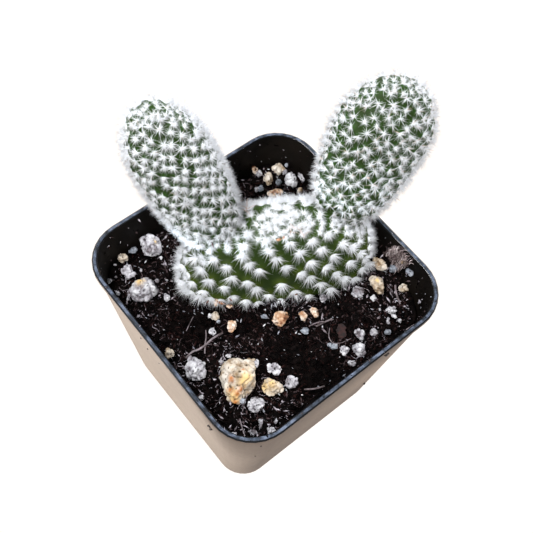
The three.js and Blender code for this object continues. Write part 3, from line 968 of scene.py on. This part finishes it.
def makeFibre():
    # a bent three-sided thread
    fibre = addShape(
        bpy.ops.mesh.primitive_cylinder_add, vertices=3, radius=0.5, depth=1, rotation=(0, math.pi / 2, 0),
        end_fill_type="NOTHING")
    bpy.ops.object.transform_apply(location=True, rotation=True, scale=True)
    for cut in (-0.3, -0.1, 0.1, 0.3):
        editAll(fibre, lambda: bpy.ops.mesh.bisect(plane_co=(cut, 0, 0), plane_no=(1, 0, 0)))
    places = vertexPlaces(fibre)
    thin = 1 - 3.2 * places[:, 0] ** 2
    places[:, 1] = places[:, 1] * thin + 2.2 * np.sin(places[:, 0] * 5.2)
    places[:, 2] = places[:, 2] * thin - 4.5 * places[:, 0] ** 2
    moveVertices(fibre, places)
    return fibre


def insidePot(x, y, margin):
    # the pot's inner outline at the soil's height, with its rounded corners
    half, corner = 29.3 - margin, 9.2
    u, v = (x + y) / math.sqrt(2), (y - x) / math.sqrt(2)
    du, dv = np.maximum(np.abs(u) - (half - corner), 0), np.maximum(np.abs(v) - (half - corner), 0)
    return np.hypot(du, dv) < corner


def soilSpots(count, draw, margin):
    # random places on the soil surface, clear of the pads and the stones
    spots = []
    while len(spots) < count:
        x, y = draw.uniform(-42, 42, 2)
        if not insidePot(np.array(x), np.array(y), margin):
            continue
        hit, _, _, _ = soilTree.ray_cast(Vector((x * mm, y * mm, 0.056)), Vector((0, 0, -1)))
        if hit is None or hit.z < 44 * mm:
            continue
        place, normal, _, gap = solidTree.find_nearest(hit)
        if gap < 0.1 * mm or (hit - place).dot(normal) < 0:
            continue
        spots.append(hit)
    return np.array(spots)


def wallSpots(count, draw, lowest):
    # random places on the inner wall, most of them near the soil and on the right
    spots = []
    while len(spots) < count:
        angle = draw.uniform(0, 2 * math.pi)
        high = lowest + 7.5 * draw.uniform(0, 1) ** 1.6
        if draw.uniform(0, 1) > 0.35 + 0.65 * max(0.0, math.cos(angle)):
            continue
        aim = Vector((math.cos(angle), math.sin(angle), 0))
        hit, _, _, _ = potTree.ray_cast(Vector((0, 0, high * mm)), aim)
        spots.append(hit - aim * 0.1 * mm)
    return np.array(spots)


def lipSpots(count, draw, width):
    spots = []
    while len(spots) < count:
        angle = draw.uniform(0, 2 * math.pi)
        aim = Vector((math.cos(angle), math.sin(angle), 0))
        edge, _, _, _ = potTree.ray_cast(Vector((0, 0, 57.0 * mm)), aim)
        x, y = (edge + aim * draw.uniform(0.1, width) * mm).xy
        hit, _, _, _ = potTree.ray_cast(Vector((x, y, 0.07)), Vector((0, 0, -1)))
        if hit is not None and hit.z > 57.3 * mm:
            spots.append(hit)
    return np.array(spots)


def randomAxes(draw, sizes, flat):
    # three scaled axes for each copy, turned at random, kept nearly level by flat
    axes = []
    for size in sizes:
        turn = Euler((draw.normal(0, flat), draw.normal(0, flat), draw.uniform(0, 2 * math.pi)))
        axes.append(np.array(turn.to_matrix()).T * np.asarray(size)[:, None])
    return np.array(axes)


def flakeSizes(draw, count, small, large):
    across = small + (large - small) * draw.uniform(0, 1, count) ** 2.4
    return np.stack([across * draw.uniform(1.1, 2.6, count), across * draw.uniform(0.5, 0.9, count),
                     across * draw.uniform(0.35, 0.7, count)], 1)


def threadSizes(draw, count, shortest, longest, finest, thickest):
    thick = draw.uniform(finest, thickest, count)
    return np.stack([draw.uniform(shortest, longest, count), thick, thick], 1)


soilTree, potTree = surfaceOf(soil), surfaceOf(pot)
solidTree = surfaceOf(*stones, *(skins[node][0] for node in padShapes))
crumb, fibre = makeCrumb(), makeFibre()
crumbFinish = crumbMaterial()
speckFinish = toneMaterial("pale specks", 0.7, (
    (0.0, (0.18, 0.18, 0.22)),
    (0.5, (0.5, 0.52, 0.58)),
    (1.0, (0.84, 0.85, 0.88)),
))
# reach in mm: the margin to the wall on the soil, the lowest height on the wall, the width used on the lip
strewn = {
    "peat_flakes": {
        "on": soilSpots, "count": 15000, "reach": 0.7, "shape": crumb, "size": (0.2, 1.0), "flat": 0.8,
        "lift": 0.4, "finish": crumbFinish, "slot": "peat", "tone": (0, 1), "power": 1.05,
    },
    "peat_fibres": {
        "on": soilSpots, "count": 1900, "reach": 1.4, "shape": fibre, "size": (0.8, 2.6, 0.09, 0.2),
        "flat": 0.45, "lift": 1.2, "finish": crumbFinish, "slot": "twig", "tone": (0.55, 1.0), "power": 1,
    },
    "pale_specks": {
        "on": soilSpots, "count": 330, "reach": 1.0, "shape": crumb, "size": (0.15, 0.75), "flat": 0.6,
        "lift": 0.9, "finish": speckFinish, "slot": "perlite_white", "tone": (0, 1), "power": 1,
    },
    "wall_crumbs": {
        "on": wallSpots, "count": 520, "reach": 48.5, "shape": crumb, "size": (0.2, 0.8), "flat": 0.9,
        "lift": 0, "finish": crumbFinish, "slot": "peat", "tone": (0.2, 1),
    },
    "wall_specks": {
        "on": wallSpots, "count": 70, "reach": 48.5, "shape": crumb, "size": (0.15, 0.5), "flat": 0.9,
        "lift": 0, "finish": speckFinish, "slot": "perlite_white", "tone": (0, 0.8),
    },
    "lip_crumbs": {
        "on": lipSpots, "count": 130, "reach": 1.0, "shape": crumb, "size": (0.1, 0.5), "flat": 0.4,
        "lift": 0.2, "finish": crumbFinish, "slot": "peat", "tone": (0, 1),
    },
}


def strew(name, look, draw):
    spots = look["on"](look["count"], draw, look["reach"])
    sizesOf = threadSizes if look["shape"] is fibre else flakeSizes
    sizes = sizesOf(draw, len(spots), *look["size"])
    tone = draw.uniform(*look["tone"], len(spots))
    if look["on"] is soilSpots:
        # painted shade: the flakes are darker in the hollows
        tone = tone ** look["power"] * (1 - 0.35 * hollowAt(spots[:, 0] / mm, spots[:, 1] / mm))
    spots[:, 2] += sizes[:, 2] * look["lift"] * mm
    piece = copiesOf(name, look["shape"], spots, randomAxes(draw, sizes * mm, look["flat"]), {"tone": tone})
    finishPiece(piece, look["finish"], None)


draw = np.random.default_rng(21)
for name, look in strewn.items():
    strew(name, look, draw)


# Fibrous heap in the right-far part: pale threads that stand up against the wall, as far as the lip

heapLook = {"count": 260, "along": (-16.2, -10.6), "height": (50.8, 56.6), "lean": (0.37, -0.21, 0.905)}


def makeHeap():
    draw = np.random.default_rng(33)
    count = heapLook["count"]
    along = draw.uniform(*heapLook["along"], count)
    height = draw.uniform(*heapLook["height"], count)
    along -= 0.35 * (height - 50)
    out = 29.6 + 0.12 * (height - 50) - draw.uniform(0.1, 1.1, count)
    places = np.stack([(out - along) / math.sqrt(2), (out + along) / math.sqrt(2), height], 1) * mm
    size = threadSizes(draw, count, 1.6, 3.8, 0.12, 0.3) * mm
    aim = unit(np.array(heapLook["lean"]) + draw.normal(0, 0.26, (count, 3)))
    side = unit(np.cross(aim, (0.7, 0.7, 0.1)))
    axes = np.stack([aim * size[:, :1], side * size[:, 1:2], np.cross(aim, side) * size[:, 2:]], 1)
    piece = copiesOf("heap_fibres", fibre, places, axes, {"tone": draw.uniform(0, 1, count)})
    finishPiece(piece, heapFinish, None)


heapFinish = toneMaterial("heap fibres", 0.5, (
    (0.0, (0.03, 0.018, 0.016)),
    (0.35, (0.12, 0.080, 0.075)),
    (0.7, (0.40, 0.32, 0.32)),
    (1.0, (0.78, 0.70, 0.70)),
))
makeHeap()


# Dried scraps caught in the tufts: place and size in mm, turn in degrees, tone from dark red to pale pink

driedFlakes = (
    ((2.0, 4.7, 65.6), (1.5, 0.9, 0.5), 20, 0.62), ((3.0, 5.3, 65.9), (1.1, 0.6, 0.4), 70, 0.70),
    ((-12.7, 0.2, 67.6), (1.9, 0.45, 0.3), 115, 0.0), ((-12.9, -5.4, 49.6), (1.2, 0.5, 0.4), 60, 0.12),
    ((-7.5, -4.9, 51.0), (1.2, 0.5, 0.4), -40, 0.12), ((7.9, -1.4, 51.2), (1.0, 0.45, 0.4), 30, 0.2),
    ((-9.6, -5.3, 49.4), (2.4, 1.1, 0.7), -10, 0.4), ((19.7, 15.1, 79.4), (0.8, 0.4, 0.3), 0, 0.9),
)
driedThreads = (
    ((3.8, 7.0, 67.0), 2.6, 10, 0.95), ((5.3, 6.6, 66.5), 2.4, -30, 0.9),
    ((6.7, 7.3, 66.6), 2.2, 70, 1.0), ((8.1, 7.1, 66.0), 2.4, 20, 0.85),
    ((4.6, 7.8, 67.3), 2.2, 120, 0.9), ((4.4, 6.4, 66.7), 1.8, 60, 0.8),
    ((6.0, 7.4, 66.9), 2.0, -65, 0.95), ((7.3, 6.6, 66.0), 1.8, 100, 0.85),
    ((-8.4, 12.1, 67.3), 3.2, 30, 0.75), ((-7.4, 11.4, 67.3), 3.0, -35, 0.65),
    ((-6.3, 12.1, 67.3), 3.4, 80, 0.8), ((-5.3, 11.4, 67.3), 2.6, 15, 0.7),
    ((-6.8, 10.4, 67.3), 2.8, 140, 0.7), ((-5.8, 10.0, 67.3), 2.4, -70, 0.6),
)


def scatterDried(name, shape, scraps, finish):
    places = np.array([scrap[0] for scrap in scraps]) * mm
    axes = []
    for _, size, turn, _ in scraps:
        level = Euler((0.5, 0, math.radians(turn))).to_matrix()
        axes.append(np.array(level).T * np.array(size)[:, None] * mm)
    tones = np.array([scrap[3] for scrap in scraps])
    piece = copiesOf(name, shape, places, np.array(axes), {"tone": tones})
    finishPiece(piece, finish, None)


driedFinish = toneMaterial("dried scraps", 0.6, (
    (0.0, (0.07, 0.008, 0.004)),
    (0.4, (0.20, 0.075, 0.02)),
    (0.65, (0.50, 0.27, 0.15)),
    (1.0, (0.78, 0.60, 0.56)),
))
scatterDried("dried_flakes", crumb, driedFlakes, driedFinish)
threads = [(place, (length, 0.13, 0.13), turn, tone) for place, length, turn, tone in driedThreads]
scatterDried("dried_threads", fibre, threads, driedFinish)
removePiece(fibre)
removePiece(crumb)


# Loose roots: points in mm, thickness

rootPaths = {
    "beaded_root": (
        ((-12.4, -12.6, 49.2), (-12.0, -14.3, 49.4), (-12.1, -16.4, 49.0), (-11.8, -18.5, 49.3)), 0.32,
    ),
    "thin_root": (((-15.8, -9.5, 49.0), (-16.3, -11.2, 49.3), (-16.9, -13.3, 48.9)), 0.16),
    "long_root": (
        (
            (-8.4, -12.7, 49.0), (-10.2, -14.2, 49.6), (-11.8, -16.3, 49.5), (-13.4, -17.9, 49.4),
            (-14.8, -18.3, 49.2), (-16.0, -20.0, 48.9),
        ),
        0.5,
    ),
    "curled_root": (
        (
            (16.7, -8.1, 49.0), (16.3, -10.2, 49.4), (17.4, -12.1, 49.4), (18.9, -12.1, 49.6),
            (20.4, -11.3, 49.4), (21.9, -10.1, 49.0),
        ),
        0.18,
    ),
    "brown_root": (((11.7, -8.3, 49.0), (13.3, -7.1, 49.4), (15.1, -6.5, 48.9)), 0.22),
    "front_root": (((-1.9, -33.0, 49.0), (-1.2, -35.1, 49.3), (-0.3, -36.8, 48.9)), 0.26),
    "short_root": (((-1.5, -31.3, 49.2), (-1.4, -29.3, 49.5), (-0.8, -26.8, 49.2)), 0.16),
    "stick": (((34.9, -6.3, 49.3), (36.5, -5.0, 49.9), (38.2, -4.0, 50.2)), 0.42),
    "wall_root": (((38.6, -1.9, 51.2), (39.2, -1.3, 51.6), (39.6, -1.0, 51.8)), 0.3),
    "brown_strand": (((31.9, 5.5, 48.9), (32.0, 3.9, 49.3), (32.2, 2.9, 49.3), (33.3, 0.6, 48.9)), 0.5),
    "back_root": (((-1.7, 31.7, 48.8), (-3.9, 32.6, 49.2), (-5.6, 33.9, 48.8)), 0.2),
}


def makeRoots():
    roots = []
    for name, (points, thick) in rootPaths.items():
        data = bpy.data.curves.new(name, "CURVE")
        data.dimensions = "3D"
        data.bevel_depth = thick / 2 * mm
        data.bevel_resolution = 1
        spline = data.splines.new("NURBS")
        spline.points.add(len(points) - 1)
        for point, place in zip(spline.points, points):
            point.co = (*(Vector(place) * mm), 1)
        spline.use_endpoint_u = True
        spline.order_u = 3
        spline.resolution_u = 5
        root = addObject(name, data)
        pick(root)
        bpy.ops.object.convert(target="MESH")
        roots.append(root)
    piece = joinPieces(roots, "loose_roots")
    smoothShade(piece)
    finishPiece(piece, rootFinish, None)


def woodMaterial(name, dark, light, shine=0.7):
    material, tree, shader = newMaterial(name, shine)
    paint(tree, shader, colourRamp(tree, noiseOn(tree, 900, 5), ((0.35, dark), (0.65, light))))
    addBump(tree, shader, noiseOn(tree, 2500, 4), 0.5, 0.0002)
    return material


rootFinish = woodMaterial("roots", (0.05, 0.035, 0.035), (0.24, 0.20, 0.22), 0.45)
makeRoots()

barkFinish = woodMaterial("bark", (0.003, 0.0012, 0.0012), (0.030, 0.007, 0.006), 0.9)
twigFinish = woodMaterial("twig", (0.03, 0.018, 0.015), (0.16, 0.13, 0.14), 0.5)
woodScraps = {
    "bark_chip": (barkFinish, "bark"), "twig_1": (twigFinish, "twig"), "twig_2": (twigFinish, "twig"),
}
for node, (finish, slot) in woodScraps.items():
    scrap = nodeCopy(node, node + "_wood")
    flat = node == "bark_chip"
    levels = 3 if flat else 1
    modify(scrap, "SUBSURF", levels=levels, render_levels=levels)
    places = vertexPlaces(scrap)
    if flat:
        # torn edges and ridges along the grain
        push = [0.5 * noise.fractal(Vector((x * 0.6, y * 1.8, z)) / mm, 1.0, 2.0, 4) for x, y, z in places]
    else:
        push = [-0.10] * len(places)
    moveVertices(scrap, places + vertexNormals(scrap) * np.array(push)[:, None] * mm)
    smoothShade(scrap, 50)
    finishPiece(scrap, finish, node)


# Specks of peat stuck to the outside of the pot: place in mm, size

outsideSpecks = (
    ((-27.3, -15.7, 47.1), 0.5), ((-25.7, -16.7, 43.3), 0.45), ((-22.5, -19.8, 43.0), 0.4),
    ((-8.2, -34.3, 43.7), 1.0), ((-8.8, -33.9, 44.2), 0.6), ((3.5, -38.4, 48.4), 0.5),
    ((2.8, -36.5, 33.5), 0.45), ((30.6, -7.0, 13.6), 0.8), ((31.1, -11.9, 47.2), 0.7),
    ((30.4, -12.8, 48.6), 1.2), ((32.2, -11.0, 50.4), 0.6), ((29.6, -7.4, 16.5), 0.5),
)


def makeOutsideSpecks():
    bits = []
    for seed, (place, size) in enumerate(outsideSpecks):
        bit = addShape(bpy.ops.mesh.primitive_ico_sphere_add, subdivisions=2, radius=size / 2 * mm)
        places = vertexPlaces(bit)
        rough = [1 + 0.5 * noise.noise(Vector(p) / mm * 3 + Vector((seed, 0, 0))) for p in places]
        moveVertices(bit, places * np.array(rough)[:, None] + np.array(place) * mm)
        bits.append(bit)
    piece = joinPieces(bits, "outside_specks")
    finishPiece(piece, speckDark, None)


speckDark = woodMaterial("stuck peat", (0.006, 0.003, 0.002), (0.03, 0.016, 0.010))
makeOutsideSpecks()


# Floor, light and surroundings

studio = {
    "world": (0.96, 0.98, 1.0),
    "worldStrength": 0.22,
    "floorColour": (1.0, 0.95, 0.91),
    "floorGlow": 1.11,
    "floorSide": 60,
    "floorHeight": -0.0002,
}
softLights = {
    "key": {
        "place": (-0.32, 0.04, 0.80), "aim": (0, 0, 0.05), "size": 0.20, "power": 7.2,
        "colour": (0.98, 0.99, 1.0),
    },
    "fill": {
        "place": (-0.04, -0.50, 0.66), "aim": (0, 0, 0.05), "size": 0.36, "power": 6.0,
        "colour": (1.0, 0.99, 0.98),
    },
    "backRight": {
        "place": (0.46, 0.40, 0.32), "aim": (0.01, 0.02, 0.07), "size": 0.26, "power": 3.6,
        "colour": (0.97, 0.98, 1.0),
    },
}
# soft-edged beams that brighten the pot's walls
beams = {
    "leftBeam": {
        "place": (-0.26, -0.20, 0.0), "aim": (-0.030, -0.011, 0.018), "angle": 19, "softness": 0.6,
        "width": 1.0, "power": 23.0, "colour": (0.87, 0.98, 1.07),
    },
    "rightBeam": {
        "place": (0.30, 0.07, 0.02), "aim": (0.0405, 0.003, 0.027), "angle": 9, "softness": 1.0,
        "width": 1.3, "power": 6.0, "colour": (1.0, 1.0, 0.98),
    },
}


def makeFloor():
    # a white light table: it glows evenly, so the pot throws no shadow on it
    floor = addShape(
        bpy.ops.mesh.primitive_plane_add, size=studio["floorSide"], location=(0, 0, studio["floorHeight"]))
    floor.name = "floor"
    material, _, shader = newMaterial("floor", 0.9, 0)
    shader.inputs["Base Color"].default_value = (0, 0, 0, 1)
    shader.inputs["Emission Color"].default_value = (*studio["floorColour"], 1)
    shader.inputs["Emission Strength"].default_value = studio["floorGlow"]
    floor.data.materials.append(material)


def addLight(name, kind, look):
    data = bpy.data.lights.new(name, kind)
    data.energy = look["power"]
    data.color = look["colour"]
    light = addObject(name, data)
    light.location = look["place"]
    light.rotation_euler = (Vector(look["aim"]) - Vector(look["place"])).to_track_quat("-Z", "Y").to_euler()
    return light


def lightScene():
    world = bpy.data.worlds.new("studio")
    bpy.context.scene.world = world
    world.use_nodes = True
    background = world.node_tree.nodes["Background"]
    background.inputs["Color"].default_value = (*studio["world"], 1)
    background.inputs["Strength"].default_value = studio["worldStrength"]
    for name, look in softLights.items():
        light = addLight(name, "AREA", look)
        light.data.shape = "DISK"
        light.data.size = look["size"]
    for name, look in beams.items():
        light = addLight(name, "SPOT", look)
        light.data.spot_size = math.radians(look["angle"])
        light.data.spot_blend = look["softness"]
        light.data.shadow_soft_size = 0.01
        light.scale = (look["width"], 1, 1)


makeFloor()
lightScene()
bpy.context.scene.view_settings.view_transform = "Standard"
print("lights placed")
